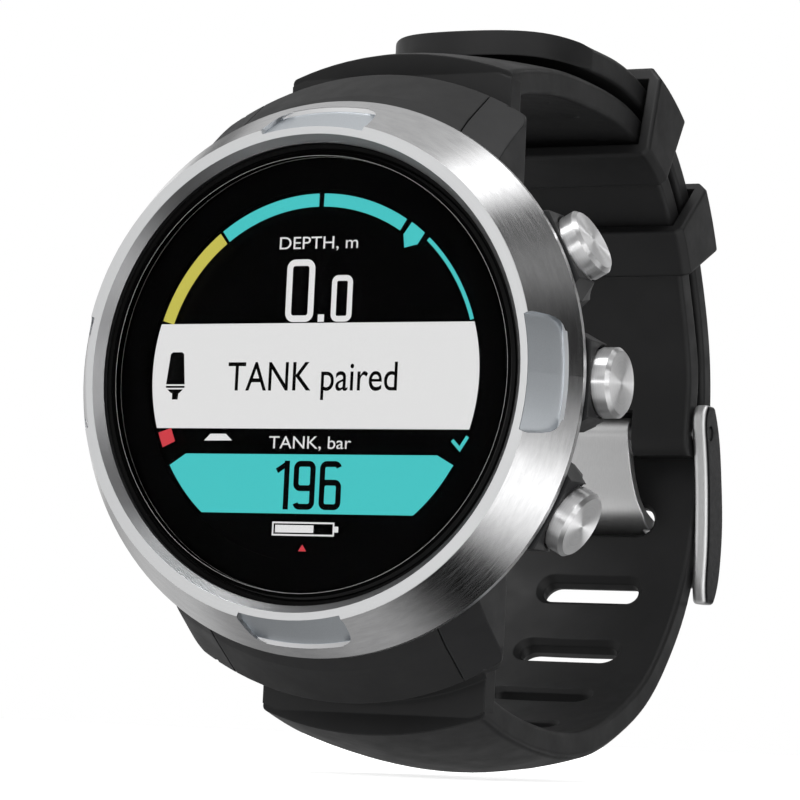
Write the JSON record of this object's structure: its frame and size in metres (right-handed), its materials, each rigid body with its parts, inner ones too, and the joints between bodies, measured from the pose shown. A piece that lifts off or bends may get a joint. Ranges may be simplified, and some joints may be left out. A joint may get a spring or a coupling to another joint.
{
  "type": "dive computer",
  "caption": "Wrist dive computer with a round brushed steel bezel, lit display, side push buttons and a buckled silicone strap with sliding keepers.",
  "frame": {"origin": "centre of the back cover's outer face, where the wrist rests", "axes": "+Y back from the dial towards the wrist, +Z towards 12 o'clock, +X towards the buttons"},
  "size_m": [0.0548, 0.079, 0.0755],
  "materials": {
    "case_composite": "fine-grained matte",
    "bezel_steel": "brushed round the slope, satin front ring, blasted pads",
    "lens_glass": "polished",
    "seal_rubber": "matte",
    "mask_black": "printed black",
    "display_face": "lit graphic display",
    "tray_plastic": "moulded",
    "board_green": "solder mask",
    "antenna_copper": "etched copper on film",
    "cell_foil": "foil pouch",
    "motor_steel": "stamped can",
    "piezo_brass": "plain",
    "sensor_steel": "turned",
    "cover_steel": "fine brushed",
    "screw_steel": "turned",
    "contact_gold": "gold plated",
    "insulator_plastic": "moulded",
    "flex_film": "polyimide film",
    "button_steel": "spun face, turned sides",
    "sleeve_steel": "turned",
    "spring_steel": "drawn wire",
    "switch_black": "moulded",
    "strap_silicone": "matte silicone",
    "bar_steel": "turned",
    "buckle_steel": "fine brushed, blasted bevel"
  },
  "bodies": {
    "watch": {"case_body": "case_composite", "bezel": "bezel_steel", "lens": "lens_glass", "lens_gasket": "seal_rubber", "display_mask": "mask_black", "display_panel": "display_face", "display_carrier": "tray_plastic", "main_board": "board_green", "radio_antenna": "antenna_copper", "battery": "cell_foil", "vibration_motor": "motor_steel", "buzzer_disc": "piezo_brass", "pressure_sensor": "sensor_steel", "sensor_seal": "seal_rubber", "back_cover": "cover_steel", "back_cover_gasket": "seal_rubber", "back_cover_screws": "screw_steel", "charging_contacts": "contact_gold", "contact_insulators": "insulator_plastic", "switch_flex": "flex_film", "strap_upper": "strap_silicone", "strap_lower": "strap_silicone", "upper_button_sleeve": "sleeve_steel", "upper_button_seals": "seal_rubber", "upper_button_spring": "spring_steel", "upper_button_switch": "switch_black", "middle_button_sleeve": "sleeve_steel", "middle_button_seals": "seal_rubber", "middle_button_spring": "spring_steel", "middle_button_switch": "switch_black", "lower_button_sleeve": "sleeve_steel", "lower_button_seals": "seal_rubber", "lower_button_spring": "spring_steel", "lower_button_switch": "switch_black", "spring_bar_upper": "bar_steel", "bar_spring_upper": "spring_steel", "spring_bar_lower": "bar_steel", "bar_spring_lower": "spring_steel"},
    "upper_button": {"upper_button": "button_steel", "upper_button_clip": "spring_steel"},
    "middle_button": {"middle_button": "button_steel", "middle_button_clip": "spring_steel"},
    "lower_button": {"lower_button": "button_steel", "lower_button_clip": "spring_steel"},
    "upper_bar_release": {"bar_tip_upper": "bar_steel", "release_lever_upper": "bar_steel"},
    "lower_bar_release": {"bar_tip_lower": "bar_steel", "release_lever_lower": "bar_steel"},
    "front_keeper": {"keeper_front": "strap_silicone"},
    "rear_keeper": {"keeper_rear": "strap_silicone"},
    "buckle_frame": {"buckle_frame": "buckle_steel", "buckle_bar": "bar_steel"},
    "buckle_tongue": {"buckle_tongue": "buckle_steel"}
  },
  "joints": [
    {"name": "upper_button_press", "type": "slide", "parent": "watch", "child": "upper_button", "axis": [-0.8813, 0, -0.4726], "range_m": [0, 0.0006], "stiffness_N_per_m": 1500, "springref_m": -0.0006, "deforming": ["upper_button_spring"]},
    {"name": "middle_button_press", "type": "slide", "parent": "watch", "child": "middle_button", "axis": [-1, 0, 0], "range_m": [0, 0.0006], "stiffness_N_per_m": 1500, "springref_m": -0.0006, "deforming": ["middle_button_spring"]},
    {"name": "lower_button_press", "type": "slide", "parent": "watch", "child": "lower_button", "axis": [-0.8813, 0, 0.4726], "range_m": [0, 0.0006], "stiffness_N_per_m": 1500, "springref_m": -0.0006, "deforming": ["lower_button_spring"]},
    {"name": "upper_bar_release", "type": "slide", "parent": "watch", "child": "upper_bar_release", "axis": [-1, 0, 0], "range_m": [0, 0.0016], "stiffness_N_per_m": 1200, "springref_m": -0.0005, "deforming": ["bar_spring_upper"]},
    {"name": "lower_bar_release", "type": "slide", "parent": "watch", "child": "lower_bar_release", "axis": [-1, 0, 0], "range_m": [0, 0.0016], "stiffness_N_per_m": 1200, "springref_m": -0.0005, "deforming": ["bar_spring_lower"]},
    {"name": "front_keeper_slide", "type": "hinge", "parent": "watch", "child": "front_keeper", "pos_m": [0, 0.0295, 0.0085], "axis": [1, 0, 0], "range_deg": [-5, 10]},
    {"name": "rear_keeper_slide", "type": "hinge", "parent": "watch", "child": "rear_keeper", "pos_m": [0, 0.0295, 0.0085], "axis": [1, 0, 0], "range_deg": [0, 8]},
    {"name": "buckle_frame_swing", "type": "hinge", "parent": "watch", "child": "buckle_frame", "pos_m": [0, 0.0564, 0.0012], "axis": [1, 0, 0], "range_deg": [0, 3]},
    {"name": "buckle_tongue_swing", "type": "hinge", "parent": "watch", "child": "buckle_tongue", "pos_m": [0, 0.0564, 0.0012], "axis": [1, 0, 0], "range_deg": [0, 3]}
  ],
  "couplings": [
    {"joint": "buckle_tongue_swing", "follows": "buckle_frame_swing", "ratio": 1}
  ]
}
